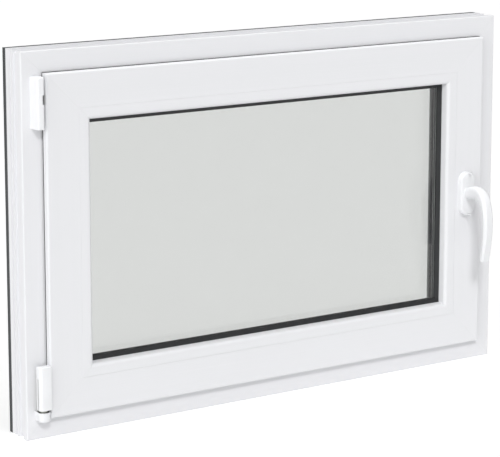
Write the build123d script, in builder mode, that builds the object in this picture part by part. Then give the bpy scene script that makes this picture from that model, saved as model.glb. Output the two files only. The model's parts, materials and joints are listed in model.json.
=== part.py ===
"""Tilt-and-turn casement window, 900 x 600 mm, in white uPVC with a dark outer skin.

Row frame, in millimetres: X runs along the width, Z up from the sill's underside, and Y through
the wall, with the room on the -Y side and the street on the +Y side. The origin is the middle of
the sill's underside, halfway through the frame's depth.

The long bars are all drawn the same way. A section has x = distance inward from the window's
outer edge (called "inset" here) and y = depth through the wall, so one section serves all four
sides, and every corner is a 45 degree mitre that starts at the window's outer corner.
"""
from math import cos, pi, radians, sin
import os

from build123d import *

os.makedirs("parts", exist_ok=True)

# ---- Driving dimensions --------------------------------------------------------------------
window_width = 900.0
window_height = 600.0
frame_depth = 60.0

frame_face = 42.0  # inset of the rebate floor, which is also the width of the room-side face
upstand_top = 66.0  # inset of the frame's outer flange, which the sash closes against
upstand_room = 18.0  # depth of that flange's room-side face
drain_floor = 38.0  # inset of the drainage channel between rebate floor and flange
wall = 2.8  # outer walls of the hollow bars
skin = 0.5  # coloured outer skin
skin_wrap = 10.0  # how far that skin turns onto the outer edge

sash_edge = 34.0  # inset of the sash's outer lip
sash_proud = 14.2  # how far the sash stands in front of the frame, on the room side
sash_depth = 60.0
lip_gap = 3.0  # between the lip and the frame's face, where the seal sits
sash_web = 54.0  # inset of the sash's edge inside the rebate
bead_joint = 90.0  # inset of the joint between sash and glazing bead
sightline = 110.0  # inset of the bead's inner edge, where the glass begins to show
bead_back = 27.0  # the bead's back face is this far on the room side of the middle

glass_edge = 95.0
pane_thickness = 4.0
cavity = 16.0
glass_street = 0.0  # depth of the outermost glass face
spacer_height = 7.0

hardware_depth = -17.0  # depth of the hardware groove's centre line
faceplate_width = 15.6
faceplate_thickness = 2.6
faceplate_bottom = 56.8  # inset of the faceplate's underside
rail_width = 11.2
rail_thickness = 2.5
rail_bottom = 59.7  # inset of the drive rail's underside
groove_bottom = 66.0

pinion_teeth = 12
tooth_pitch = 6.0
pitch_radius = pinion_teeth * tooth_pitch / (2 * pi)
rail_travel = pitch_radius * pi  # for half a turn of the handle

hinge_out = 10.5  # hinge line to the sash lip's side, and to the frame's face
tilt_height = 37.0  # height of the line the sash tilts about
stay_reach = 290.0  # hinge line to the stay arm's slider pin, along the width

handle_inset = 69.0  # spindle, 15 mm in from the sash's edge inside the rebate
handle_height = 300.0

# ---- Worked-out values ---------------------------------------------------------------------
half_width = window_width / 2
room = -frame_depth / 2  # depth of the frame's room-side face
street = frame_depth / 2
sash_room = room - sash_proud
sash_street = sash_room + sash_depth
lip_back = room - lip_gap
bead_face = -bead_back
glass_room = glass_street - 2 * pane_thickness - cavity
hinge_x = -half_width + sash_edge - hinge_out
hinge_y = room - hinge_out
handle_x = half_width - handle_inset
faceplate_top = faceplate_bottom - faceplate_thickness
rail_top = rail_bottom - rail_thickness
stay_x = hinge_x + stay_reach

sides = {
    "bottom": (Plane(origin=(half_width, 0, 0), x_dir=(0, 0, 1), z_dir=(-1, 0, 0)), window_width),
    "top": (
        Plane(origin=(-half_width, 0, window_height), x_dir=(0, 0, -1), z_dir=(1, 0, 0)),
        window_width,
    ),
    "left": (Plane(origin=(-half_width, 0, 0), x_dir=(1, 0, 0), z_dir=(0, 0, 1)), window_height),
    "right": (
        Plane(origin=(half_width, 0, window_height), x_dir=(-1, 0, 0), z_dir=(0, 0, -1)),
        window_height,
    ),
}


# ---- Helpers -------------------------------------------------------------------------------
def save(part, name):
    """Label a finished piece and write it as its own STEP file."""
    part.label = name
    export_step(part, f"parts/{name}.step")


def outline(*points):
    """A closed section from its corner points (inset, depth)."""
    with BuildSketch() as face:
        with BuildLine():
            Polyline(*points, close=True)
        make_face()
    return face.sketch


def block(inset_from, inset_to, depth_from, depth_to):
    """A rectangular piece of a section."""
    return outline(
        (inset_from, depth_from), (inset_to, depth_from), (inset_to, depth_to), (inset_from, depth_to)
    )


def hollow(shape, chambers, rounded=()):
    """A section with rounded corners, as (corner, radius), and its hollow chambers cut out."""
    with BuildSketch() as section:
        add(shape)
        for corner, radius in rounded:
            fillet(section.vertices().sort_by_distance(corner)[0], radius)
        for chamber in chambers:
            add(chamber, mode=Mode.SUBTRACT)
    return section.sketch


def mitred_bar(section, side):
    """One side of a frame: its section along the whole side, cut at 45 degrees at both ends."""
    start, length = sides[side]
    end = start.origin + start.z_dir * length
    with BuildPart() as bar:
        with BuildSketch(start):
            add(section)
        extrude(amount=length)
        split(bisect_by=Plane(origin=start.origin, z_dir=start.z_dir - start.x_dir), keep=Keep.TOP)
        split(bisect_by=Plane(origin=end, z_dir=-start.z_dir - start.x_dir), keep=Keep.TOP)
    return bar.part


def ring(section):
    """Four mitred bars in one closed ring."""
    with BuildPart() as whole:
        for side in sides:
            add(mitred_bar(section, side))
    return whole.part


def edge_plane(side, inset):
    """A plane in the rebate gap that faces outward, with x along the side and y across it."""
    if side == "right":
        return Plane(origin=(half_width - inset, hardware_depth, 0), x_dir=(0, 0, 1), z_dir=(1, 0, 0))
    if side == "left":
        return Plane(origin=(inset - half_width, hardware_depth, 0), x_dir=(0, 0, 1), z_dir=(-1, 0, 0))
    height, up = (window_height - inset, 1) if side == "top" else (inset, -1)
    return Plane(origin=(0, hardware_depth, height), x_dir=(1, 0, 0), z_dir=(0, 0, up))


def upright(x, y, z):
    """A level plane at height z with its centre on a vertical line."""
    return Plane(origin=(x, y, z), x_dir=(1, 0, 0), z_dir=(0, 0, 1))


def facing_room(x, z, depth):
    """A plane that faces the room, at the given depth."""
    return Plane(origin=(x, depth, z), x_dir=(1, 0, 0), z_dir=(0, -1, 0))


def pan_screws(places, head_radius, head_height, shank_radius, length):
    """Pan-head screws. Each place is a plane under the head, facing the way the head points."""
    with BuildPart() as screws:
        for place in places:
            with BuildSketch(place):
                Circle(head_radius)
            extrude(amount=head_height)
            with BuildSketch(place):
                Circle(shank_radius)
            extrude(amount=-length)
    return screws.part


def drilled(part, places, radius, depth):
    """The part with round holes of one size, from each plane against the way that it faces."""
    with BuildPart() as result:
        add(part)
        for place in places:
            with BuildSketch(place):
                Circle(radius)
            extrude(amount=-depth, mode=Mode.SUBTRACT)
    return result.part


# ---- Screw places --------------------------------------------------------------------------
screw_radius = 1.6
pilot_radius = 1.7
clearance_radius = 1.8
lock_screw_places = (210, 400)
top_screw_places = (-290, 60, 260)
bottom_screw_places = (-40, 240)
lock_cam_places = (175, 455)
top_cam_place = 150
bottom_cam_place = 120
striker_half_length = 30
striker_screw_offset = 24


def moved(side, inset, along):
    """The edge plane of a side, moved along it."""
    plane = edge_plane(side, inset)
    return Plane(origin=plane.origin + plane.x_dir * along, x_dir=plane.x_dir, z_dir=plane.z_dir)


faceplate_screw_planes = {
    "right": [moved("right", faceplate_top, along) for along in lock_screw_places],
    "top": [moved("top", faceplate_top, along) for along in top_screw_places],
    "bottom": [moved("bottom", faceplate_top, along) for along in bottom_screw_places],
}
faceplate_screw_length = 14.6

striker_height = 1.4
striker_centres = {
    "right": [place - rail_travel / 2 for place in lock_cam_places],
    "top": [top_cam_place + rail_travel / 2],
}
tilt_striker_centre = bottom_cam_place - rail_travel / 2
striker_screw_planes = {"right": [], "top": [], "bottom": []}
for side, centres in [*striker_centres.items(), ("bottom", [tilt_striker_centre])]:
    for centre in centres:
        for offset in (-striker_screw_offset, striker_screw_offset):
            outward = moved(side, frame_face + striker_height, centre + offset)
            striker_screw_planes[side].append(
                Plane(origin=outward.origin, x_dir=outward.x_dir, z_dir=-outward.z_dir)
            )

# ---- Outer frame ---------------------------------------------------------------------------
# The outer edge has two shallow grooves, for clip-on anchors and for trims, with a flat rib between them.
anchor_groove = (-17.0, -2.0, 4.0)  # depth from, depth to, and how deep it is cut
trim_step = (3.0, 8.0, 2.0)
frame_shape = outline(
    (0, room),
    (frame_face, room),
    (frame_face, -3),
    (drain_floor, 1),
    (drain_floor, upstand_room),
    (upstand_top - 2, upstand_room),
    (upstand_top - skin, upstand_room + 2),
    (upstand_top - skin, street - skin),
    (skin, street - skin),
    (skin, street - skin_wrap),
    (0, street - skin_wrap),
    (0, trim_step[1]),
    (trim_step[2], trim_step[1]),
    (trim_step[2], trim_step[0]),
    (0, trim_step[0]),
    (0, anchor_groove[1]),
    (anchor_groove[2], anchor_groove[1]),
    (anchor_groove[2], anchor_groove[0]),
    (0, anchor_groove[0]),
)
frame_chambers = [
    block(wall, frame_face - wall, room + wall, -20.5),
    block(anchor_groove[2] + wall, drain_floor - wall, -19, 5.5),
    block(wall, drain_floor - wall, 9.8, street - wall),
    block(drain_floor, upstand_top - 3, upstand_room + wall, street - wall),
]
frame_section = hollow(frame_shape, frame_chambers, rounded=[((0, room), 2), ((frame_face, room), 1.5)])

top_bracket_screw_heights = (491, 498, 555)
bracket_front = room - 3
top_bracket_screw_planes = [
    facing_room(hinge_x - 0.5, height, bracket_front) for height in top_bracket_screw_heights
]
bearing_screw_heights = (38.4, 43.0)
bearing_screw_planes = [
    facing_room(hinge_x - 6.2, height, bracket_front) for height in bearing_screw_heights
]
bracket_screw_length = 9.0

frame_sides = {
    "bottom": "frame_sill",
    "top": "frame_head",
    "left": "frame_jamb_left",
    "right": "frame_jamb_right",
}
drain_places = (-300, 300)
frame_holes = dict(striker_screw_planes, left=top_bracket_screw_planes + bearing_screw_planes)
striker_screw_length = 7.0
for side, node in frame_sides.items():
    depth = bracket_screw_length + 0.2 if side == "left" else striker_screw_length + 0.2
    bar = drilled(mitred_bar(frame_section, side), frame_holes[side], pilot_radius, depth)
    if side == "bottom":
        with BuildPart() as drained:
            add(bar)
            for x in drain_places:
                with BuildSketch(Plane(origin=(x, street, 20), x_dir=(1, 0, 0), z_dir=(0, -1, 0))):
                    SlotOverall(28, 5)
                extrude(amount=wall + 1, mode=Mode.SUBTRACT)
        bar = drained.part
    save(bar, node)

# Steel channels inside the bars stop them bending.
steel = 1.5
steel_end_gap = 48.0


def channel(inset_from, inset_to, depth_from, depth_to):
    """A U-shaped steel channel, open towards the street."""
    return hollow(
        block(inset_from, inset_to, depth_from, depth_to),
        [block(inset_from + steel, inset_to - steel, depth_from + steel, depth_to)],
    )


def cut_bars(section, gap):
    """The four bars of a section, cut square and short of the corners."""
    with BuildPart() as bars:
        for start, length in sides.values():
            near = Plane(origin=start.origin + start.z_dir * gap, x_dir=start.x_dir, z_dir=start.z_dir)
            with BuildSketch(near):
                add(section)
            extrude(amount=length - 2 * gap)
    return bars.part


frame_channel = channel(anchor_groove[2] + wall + 0.4, drain_floor - wall - 0.4, -18.6, 5.1)
save(cut_bars(frame_channel, steel_end_gap), "frame_reinforcement")

frame_skin_section = outline(
    (0, street - skin_wrap),
    (0, street),
    (upstand_top, street),
    (upstand_top, upstand_room + 2),
    (upstand_top - skin, upstand_room + 2),
    (upstand_top - skin, street - skin),
    (skin, street - skin),
    (skin, street - skin_wrap),
)
save(ring(frame_skin_section), "frame_colour_skin")

frame_gasket_section = outline(
    (56, upstand_room), (57.5, sash_street + 0.3), (62.5, sash_street + 0.3), (64, upstand_room)
)
save(ring(frame_gasket_section), "frame_gasket")

cap_depth = 3.5
with BuildPart() as drain_caps:
    for x in drain_places:
        with BuildSketch(Plane(origin=(x, street, 20), x_dir=(1, 0, 0), z_dir=(0, 1, 0))):
            SlotOverall(40, 14)
        extrude(amount=cap_depth, taper=12)
save(drain_caps.part, "drain_caps")

# ---- Sash ----------------------------------------------------------------------------------
recess_half = 8.0
groove_half = 6.0
bead_groove = (-40.2, -35.2, 84.0)  # depth from, depth to, and inset of its floor
leg_room = 3.0  # the sash's outer glazing leg starts at this depth
sash_shape = outline(
    (sash_edge, sash_room),
    (bead_joint, sash_room),
    (bead_joint, bead_groove[0]),
    (bead_groove[2], bead_groove[0]),
    (bead_groove[2], bead_groove[1]),
    (bead_joint, bead_groove[1]),
    (bead_joint, leg_room),
    (sightline, leg_room),
    (sightline, leg_room + 3),
    (104, sash_street - skin),
    (sash_web, sash_street - skin),
    (sash_web, hardware_depth + recess_half),
    (57, hardware_depth + recess_half),
    (57, hardware_depth + groove_half),
    (groove_bottom, hardware_depth + groove_half),
    (groove_bottom, hardware_depth - groove_half),
    (57, hardware_depth - groove_half),
    (57, hardware_depth - recess_half),
    (sash_web, hardware_depth - recess_half),
    (sash_web, lip_back),
    (sash_edge, lip_back),
)
sash_chambers = [
    block(sash_edge + wall, 51.4, sash_room + wall, lip_back - wall),
    block(52.9, bead_groove[2] - wall, sash_room + wall, -27.8),
    block(68.5, bead_joint - wall, -25, -1.5),
    block(sash_web + wall, 66.7, -6.2, -1.5),
    block(sash_web + wall, bead_joint - wall, 0.3, sash_street - wall),
    block(bead_joint, 103, leg_room + wall, sash_street - wall),
]
sash_section = hollow(
    sash_shape, sash_chambers, rounded=[((sash_edge, sash_room), 3), ((sash_edge, lip_back), 1)]
)

leaf_screw_heights = (74, 88, 102)
leaf_thickness = 2.5
leaf_top = sash_web - leaf_thickness
leaf_screw_planes = [moved("left", leaf_top, height) for height in leaf_screw_heights]
leaf_screw_length = 17.2
pilot_depth = 14.8

save(
    drilled(mitred_bar(sash_section, "top"), faceplate_screw_planes["top"], pilot_radius, pilot_depth),
    "sash_top",
)
save(
    drilled(
        mitred_bar(sash_section, "bottom"), faceplate_screw_planes["bottom"], pilot_radius, pilot_depth
    ),
    "sash_bottom",
)
save(
    drilled(
        mitred_bar(sash_section, "left"), leaf_screw_planes, pilot_radius, leaf_screw_length + 0.2
    ),
    "sash_hinge_stile",
)

# The lock stile is milled out for the gearbox and drilled for the spindle and handle screws.
gearbox_height = 110.0
gearbox_half_depth = 5.9
gearbox_inner = 83.5  # inset of the gearbox's inner end
gearbox_outer = 60.2
spindle_hole_radius = 7.0
handle_screw_spacing = 43.0
handle_screw_heights = (
    handle_height - handle_screw_spacing / 2,
    handle_height + handle_screw_spacing / 2,
)
pocket_inset = (gearbox_outer + gearbox_inner) / 2
with BuildPart() as sash_lock_stile:
    add(
        drilled(
            mitred_bar(sash_section, "right"),
            faceplate_screw_planes["right"],
            pilot_radius,
            pilot_depth,
        )
    )
    with Locations((half_width - pocket_inset, hardware_depth, handle_height)):
        Box(
            gearbox_inner - gearbox_outer + 1,
            2 * gearbox_half_depth + 0.4,
            gearbox_height + 1,
            mode=Mode.SUBTRACT,
        )
    with BuildSketch(facing_room(handle_x, handle_height, sash_room)):
        Circle(spindle_hole_radius)
        with Locations((0, handle_screw_spacing / 2), (0, -handle_screw_spacing / 2)):
            Circle(3)
    extrude(amount=sash_room - hardware_depth, mode=Mode.SUBTRACT)
save(sash_lock_stile.part, "sash_lock_stile")

with BuildPart() as sash_reinforcement:
    add(cut_bars(channel(68.9, bead_joint - wall - 0.4, -24.6, -1.9), 93))
    with Locations((half_width - pocket_inset, hardware_depth, handle_height)):
        Box(
            gearbox_inner - gearbox_outer + 2,
            2 * gearbox_half_depth + 10,
            gearbox_height + 2,
            mode=Mode.SUBTRACT,
        )
save(sash_reinforcement.part, "sash_reinforcement")

sash_skin_section = outline(
    (sash_web, sash_street - skin),
    (sash_web, sash_street),
    (104.3, sash_street),
    (sightline + 0.5, leg_room + 3),
    (sightline, leg_room + 3),
    (104, sash_street - skin),
)
save(ring(sash_skin_section), "sash_colour_skin")

# The room-side seal is notched where the stay arm and the hinge leaf pass through the gap.
stay_plate_height = (521.0, 534.0)
leaf_height = (60.0, 110.0)
sash_gasket_section = outline(
    (36, lip_back), (41, lip_back), (40, room - 0.4), (37.5, room - 0.4)
)
with BuildPart() as sash_gasket:
    add(ring(sash_gasket_section))
    for low, high in (stay_plate_height, leaf_height):
        with Locations((-half_width + 38.5, lip_back + lip_gap / 2, (low + high) / 2)):
            Box(8, lip_gap + 1, high - low + 3, mode=Mode.SUBTRACT)
save(sash_gasket.part, "sash_gasket")

# ---- Glazing -------------------------------------------------------------------------------
bead_shape = outline(
    (bead_joint, sash_room),
    (sightline - 1.5, sash_room),
    (sightline, bead_face - 4.4),
    (sightline, bead_face),
    (bead_joint, bead_face),
    (bead_joint, bead_groove[1] - 0.2),
    (bead_groove[2] + 0.2, bead_groove[1] - 0.2),
    (bead_groove[2] + 0.2, bead_groove[0] + 0.2),
    (bead_joint, bead_groove[0] + 0.2),
)
bead_chamber = outline((92.2, -42), (102, -42), (107.6, -37), (107.8, -29.2), (92.2, -29.2))
bead_section = hollow(
    bead_shape, [bead_chamber], rounded=[((sightline - 1.5, sash_room), 6), ((bead_joint, sash_room), 0.6)]
)
for side in sides:
    save(mitred_bar(bead_section, side), f"bead_{side}")

gasket_lip = 116.8  # inset of the lip that shows round the glass
bead_gasket_section = outline(
    (97, glass_room),
    (gasket_lip, glass_room),
    (gasket_lip, glass_room - 0.9),
    (sightline, bead_face - 1.8),
    (sightline, bead_face),
    (97, bead_face),
)
save(ring(bead_gasket_section), "bead_gasket")
outer_lip = sightline + 1.6
save(ring(block(99, outer_lip, glass_street, leg_room)), "outer_glazing_gasket")


def pane(depth_from):
    """One glass sheet, from its room-side face."""
    plane = Plane(origin=(0, depth_from, window_height / 2), x_dir=(1, 0, 0), z_dir=(0, -1, 0))
    with BuildPart() as sheet:
        with BuildSketch(plane):
            Rectangle(window_width - 2 * glass_edge, window_height - 2 * glass_edge)
        extrude(amount=-pane_thickness)
    return sheet.part


save(pane(glass_room), "inner_pane")
save(pane(glass_street - pane_thickness), "outer_pane")
cavity_room = glass_room + pane_thickness
cavity_street = glass_street - pane_thickness
spacer_inner = sightline - 1.0
spacer_outer = spacer_inner - spacer_height
save(ring(block(spacer_outer, spacer_inner, cavity_room, cavity_street)), "spacer_bar")
save(ring(block(glass_edge + 0.5, spacer_outer, cavity_room, cavity_street)), "edge_seal")

block_length = 80.0
glass_middle = (glass_room + glass_street) / 2
glazing_block_places = (
    (-260, bead_joint, 0),
    (260, bead_joint, 0),
    (260, window_height - glass_edge, 0),
    (-half_width + bead_joint, 180, 1),
    (half_width - glass_edge, 180, 1),
    (half_width - glass_edge, 430, 1),
)
block_thickness = glass_edge - bead_joint
with BuildPart() as glazing_blocks:
    for x, z, standing in glazing_block_places:
        width, height = (block_thickness, block_length) if standing else (block_length, block_thickness)
        with Locations((x + standing * width / 2, glass_middle, z + (1 - standing) * height / 2)):
            Box(width, glass_street - glass_room, height)
save(glazing_blocks.part, "glazing_blocks")

# ---- Locking gear in the sash's edge -------------------------------------------------------
cam_stem_radius = 3.5
cam_head_radius = 5.5
cam_head_bottom = 50.2
cam_top = 46.2


def rail(side, start, end, screw_places, travel_sign, rack=False):
    """A drive rail, slotted where it slides past the faceplate's screws."""
    with BuildPart() as bar:
        with BuildSketch(edge_plane(side, rail_bottom)):
            with Locations(((start + end) / 2, 0)):
                Rectangle(end - start, rail_width)
            for place in screw_places:
                if start < place < end:
                    with Locations((place - travel_sign * rail_travel / 2, 0)):
                        SlotOverall(rail_travel + 5, 5, mode=Mode.SUBTRACT)
            if rack:
                for step in range(-2, 9):
                    with Locations((handle_height + step * tooth_pitch, 0)):
                        Rectangle(4.1, 7.6, mode=Mode.SUBTRACT)
        extrude(amount=rail_thickness)
    return bar.part


def cams(side, places):
    """Mushroom cams, standing on a rail."""
    with BuildPart() as studs:
        for place in places:
            with BuildSketch(moved(side, rail_top, place)):
                Circle(cam_stem_radius)
            extrude(amount=rail_top - cam_head_bottom)
            with BuildSketch(moved(side, cam_head_bottom, place)):
                Circle(cam_head_radius)
            extrude(amount=cam_head_bottom - cam_top)
    return studs.part


def faceplate(side, start, end, screw_places, cam_places, travel_sign, extra_slot=None):
    """The visible strip of the locking gear, with holes for screws and slots for the cams."""
    with BuildPart() as strip:
        with BuildSketch(edge_plane(side, faceplate_bottom)):
            with Locations(((start + end) / 2, 0)):
                Rectangle(end - start, faceplate_width)
            for place in screw_places:
                with Locations((place, 0)):
                    Circle(clearance_radius, mode=Mode.SUBTRACT)
            for place in cam_places:
                with Locations((place + travel_sign * rail_travel / 2, 0)):
                    SlotOverall(rail_travel + 2 * cam_stem_radius + 1.2, 8.2, mode=Mode.SUBTRACT)
            if extra_slot:
                with Locations((extra_slot[0], 0)):
                    SlotOverall(extra_slot[1], extra_slot[2], mode=Mode.SUBTRACT)
        extrude(amount=faceplate_thickness)
    return strip.part


corner_leg = 56.0  # how far a corner drive reaches along each side from the sash's corner
lock_low = sash_web + corner_leg + 2
lock_high = window_height - lock_low
side_end = half_width - lock_low

stay_pin_radius = 3.0
stay_slide_in = 6.6  # how far the stay's pin slides towards the hinge as the sash tilts
stay_slide_out = 1.2  # and how far it first slides the other way
stay_slot = (
    stay_x - (stay_slide_in - stay_slide_out) / 2,
    stay_slide_in + stay_slide_out + 2 * stay_pin_radius + 1.6,
    2 * stay_pin_radius + 2.6,
)

save(faceplate("right", lock_low, lock_high, lock_screw_places, lock_cam_places, -1), "lock_faceplate")
save(
    faceplate("top", -330, side_end, top_screw_places, (top_cam_place,), 1, extra_slot=stay_slot),
    "top_faceplate",
)
save(
    faceplate("bottom", -240, side_end, bottom_screw_places, (bottom_cam_place,), -1),
    "bottom_faceplate",
)
save(rail("right", 150, 486, lock_screw_places, -1, rack=True), "lock_rail")
save(rail("top", -90, 300, top_screw_places, 1), "top_rail")
save(rail("bottom", -180, 336, bottom_screw_places, -1), "bottom_rail")
save(cams("right", lock_cam_places), "lock_cams")
save(cams("top", (top_cam_place,)), "top_cam")
save(cams("bottom", (bottom_cam_place,)), "bottom_cam")

all_faceplate_screws = [plane for planes in faceplate_screw_planes.values() for plane in planes]
save(pan_screws(all_faceplate_screws, 3.2, 1.6, screw_radius, faceplate_screw_length), "faceplate_screws")

housing_depth = 8.7
with BuildPart() as corner_drives:
    for middle_side in (1, -1):
        for inset, width, thickness in (
            (faceplate_top, faceplate_width, faceplate_thickness),
            (faceplate_bottom, rail_width, housing_depth),
        ):
            corner_x = half_width - inset
            corner_z = window_height / 2 + middle_side * (window_height / 2 - inset)
            leg = corner_leg - (inset - sash_web)
            with Locations((corner_x - thickness / 2, hardware_depth, corner_z - middle_side * leg / 2)):
                Box(thickness, width, leg)
            with Locations((corner_x - leg / 2, hardware_depth, corner_z - middle_side * thickness / 2)):
                Box(leg, width, thickness)
save(corner_drives.part, "corner_drives")


def striker(side, centre):
    """A low keep on the frame: a base plate with a rib along its room-side edge."""
    base = moved(side, frame_face, centre)
    across = 1 if side == "top" else -1
    with BuildPart() as keep:
        with BuildSketch(base):
            RectangleRounded(2 * striker_half_length, 20, 2)
            with Locations((-striker_screw_offset, 0), (striker_screw_offset, 0)):
                Circle(clearance_radius, mode=Mode.SUBTRACT)
        extrude(amount=-striker_height)
        with BuildSketch(moved(side, frame_face + striker_height, centre)):
            with Locations((0, -across * 8.4)):
                Rectangle(2 * striker_half_length - 14, 2.6)
        extrude(amount=-1.8)
    return keep.part


with BuildPart() as striker_plates:
    for side, centres in striker_centres.items():
        for centre in centres:
            add(striker(side, centre))
save(striker_plates.part, "striker_plates")
save(striker("bottom", tilt_striker_centre), "tilt_striker")
all_striker_screws = [plane for planes in striker_screw_planes.values() for plane in planes]
save(pan_screws(all_striker_screws, 3.2, 1.6, screw_radius, striker_screw_length), "striker_screws")

# ---- Gearbox, spindle and handle -----------------------------------------------------------
hub_radius = 7.0
tooth_tip_radius = 11.9
tooth_root_radius = 8.9
tooth_width = 2.6
tooth_flank_angle = 78
pinion_half_width = 3.6
bearing_play = 0.05
spindle_side = 7.0
spindle_play = 0.06
axis_plane = Plane(origin=(handle_x, hardware_depth, handle_height), x_dir=(1, 0, 0), z_dir=(0, -1, 0))

with BuildPart() as gearbox_case:
    with Locations((half_width - pocket_inset, hardware_depth, handle_height)):
        Box(gearbox_inner - gearbox_outer, 2 * gearbox_half_depth, gearbox_height)
    with BuildSketch(axis_plane):
        Circle(tooth_tip_radius + 0.6)
        with Locations((tooth_tip_radius, 0)):
            Rectangle(2 * tooth_tip_radius, 2 * tooth_tip_radius + 1.2)
    extrude(amount=pinion_half_width + 0.4, both=True, mode=Mode.SUBTRACT)
    with BuildSketch(axis_plane):
        Circle(hub_radius + bearing_play)
        with Locations((0, handle_screw_spacing / 2), (0, -handle_screw_spacing / 2)):
            Circle(2.55)
    extrude(amount=gearbox_half_depth + 1, both=True, mode=Mode.SUBTRACT)
save(gearbox_case.part, "gearbox_case")

with BuildPart() as drive_pinion:
    with BuildSketch(axis_plane):
        Circle(tooth_root_radius)
        with PolarLocations(0, pinion_teeth):
            with Locations((tooth_root_radius - 0.5, 0)):
                Trapezoid(
                    tooth_width,
                    tooth_tip_radius - tooth_root_radius + 0.5,
                    tooth_flank_angle,
                    rotation=-90,
                    align=(Align.CENTER, Align.MIN),
                )
    extrude(amount=pinion_half_width - 0.1, both=True)
    with BuildSketch(axis_plane):
        Circle(hub_radius)
    extrude(amount=gearbox_half_depth - 0.1, both=True)
    with BuildSketch(axis_plane):
        Rectangle(spindle_side + spindle_play, spindle_side + spindle_play)
    extrude(amount=gearbox_half_depth, both=True, mode=Mode.SUBTRACT)
save(drive_pinion.part, "drive_pinion")

rosette_width = 30.0
rosette_height = 75.0
rosette_depth = 10.0
rosette_wall = 1.8
base_depth = 7.0
base_inset = 2 * rosette_wall + 0.6
boss_radius = 8.0
neck_radius = 10.0
rosette_front = sash_room - rosette_depth
spindle_room_end = rosette_front - 12
spindle_street_end = hardware_depth + gearbox_half_depth - 0.2

with BuildPart() as handle_rosette:
    with BuildSketch(facing_room(handle_x, handle_height, sash_room)):
        SlotOverall(rosette_height, rosette_width, rotation=90)
    extrude(amount=rosette_depth)
    fillet(handle_rosette.faces().sort_by(Axis.Y)[0].edges(), 4)
    with BuildSketch(facing_room(handle_x, handle_height, sash_room)):
        SlotOverall(rosette_height - 2 * rosette_wall, rosette_width - 2 * rosette_wall, rotation=90)
    extrude(amount=base_depth + 0.2, mode=Mode.SUBTRACT)
    with BuildSketch(facing_room(handle_x, handle_height, sash_room)):
        Circle(boss_radius + 0.3)
    extrude(amount=rosette_depth, mode=Mode.SUBTRACT)
save(handle_rosette.part, "handle_rosette")

screw_seat = 4.0
with BuildPart() as handle_base:
    with BuildSketch(facing_room(handle_x, handle_height, sash_room)):
        SlotOverall(rosette_height - base_inset, rosette_width - base_inset, rotation=90)
        Circle(boss_radius + bearing_play, mode=Mode.SUBTRACT)
        with Locations((0, handle_screw_spacing / 2), (0, -handle_screw_spacing / 2)):
            Circle(2.7, mode=Mode.SUBTRACT)
    extrude(amount=base_depth)
    with BuildSketch(facing_room(handle_x, handle_height, sash_room - screw_seat)):
        with Locations((0, handle_screw_spacing / 2), (0, -handle_screw_spacing / 2)):
            Circle(5)
    extrude(amount=base_depth, mode=Mode.SUBTRACT)
save(handle_base.part, "handle_base")

handle_screw_planes = [
    facing_room(handle_x, height, sash_room - screw_seat) for height in handle_screw_heights
]
handle_screw_length = spindle_street_end - (sash_room - screw_seat)
save(pan_screws(handle_screw_planes, 4.6, 2.6, 2.5, handle_screw_length), "handle_screws")

with BuildPart() as handle_spindle:
    with BuildSketch(facing_room(handle_x, handle_height, spindle_room_end)):
        Rectangle(spindle_side, spindle_side)
    extrude(amount=-(spindle_street_end - spindle_room_end))
save(handle_spindle.part, "handle_spindle")

# The grip is lofted through ovals: distance from the sash's face, height above the spindle,
# lean of the oval's axis away from straight out (0) towards straight down (90), and its size.
grip_sections = (
    (rosette_depth + 0.4, 0.0, 0, 20.0, 20.0),
    (30.0, 0.0, 0, 17.0, 17.0),
    (47.0, -1.5, 22, 17.0, 15.0),
    (58.0, -12.0, 62, 17.5, 12.0),
    (63.0, -32.0, 82, 18.5, 9.6),
    (64.5, -53.0, 92, 19.0, 8.6),
    (61.8, -80.0, 99, 18.0, 8.0),
    (57.2, -102.5, 104, 16.0, 7.4),
    (55.4, -109.5, 106, 13.0, 5.6),
)
with BuildPart() as handle_lever:
    for out, rise, lean, across, thick in grip_sections:
        direction = (0, -cos(radians(lean)), -sin(radians(lean)))
        place = Plane(
            origin=(handle_x, sash_room - out, handle_height + rise), x_dir=(1, 0, 0), z_dir=direction
        )
        with BuildSketch(place):
            Ellipse(across / 2, thick / 2)
    loft()
    with BuildSketch(facing_room(handle_x, handle_height, sash_room - 1)):
        Circle(boss_radius)
    extrude(amount=rosette_depth)
    with BuildSketch(facing_room(handle_x, handle_height, sash_room - 1)):
        Rectangle(spindle_side + spindle_play, spindle_side + spindle_play)
    extrude(amount=sash_room - 1 - spindle_room_end + 0.2, mode=Mode.SUBTRACT)
save(handle_lever.part, "handle_lever")

# ---- Top hinge and stay arm ----------------------------------------------------------------
pin_radius = 2.5
knuckle_radius = 4.8
top_hinge_height = (483.0, 562.0)
cover_wall = 1.2
stay_plate_middle = sum(stay_plate_height) / 2
cover_notch_height = stay_plate_height[1] - stay_plate_height[0] + 1.6
cover_notch_from = 2.6  # the stay's plate swings out past this, measured from the hinge line


def relative(*points):
    """Points measured from the hinge line."""
    return [(hinge_x + x, hinge_y + y) for x, y in points]


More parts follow.
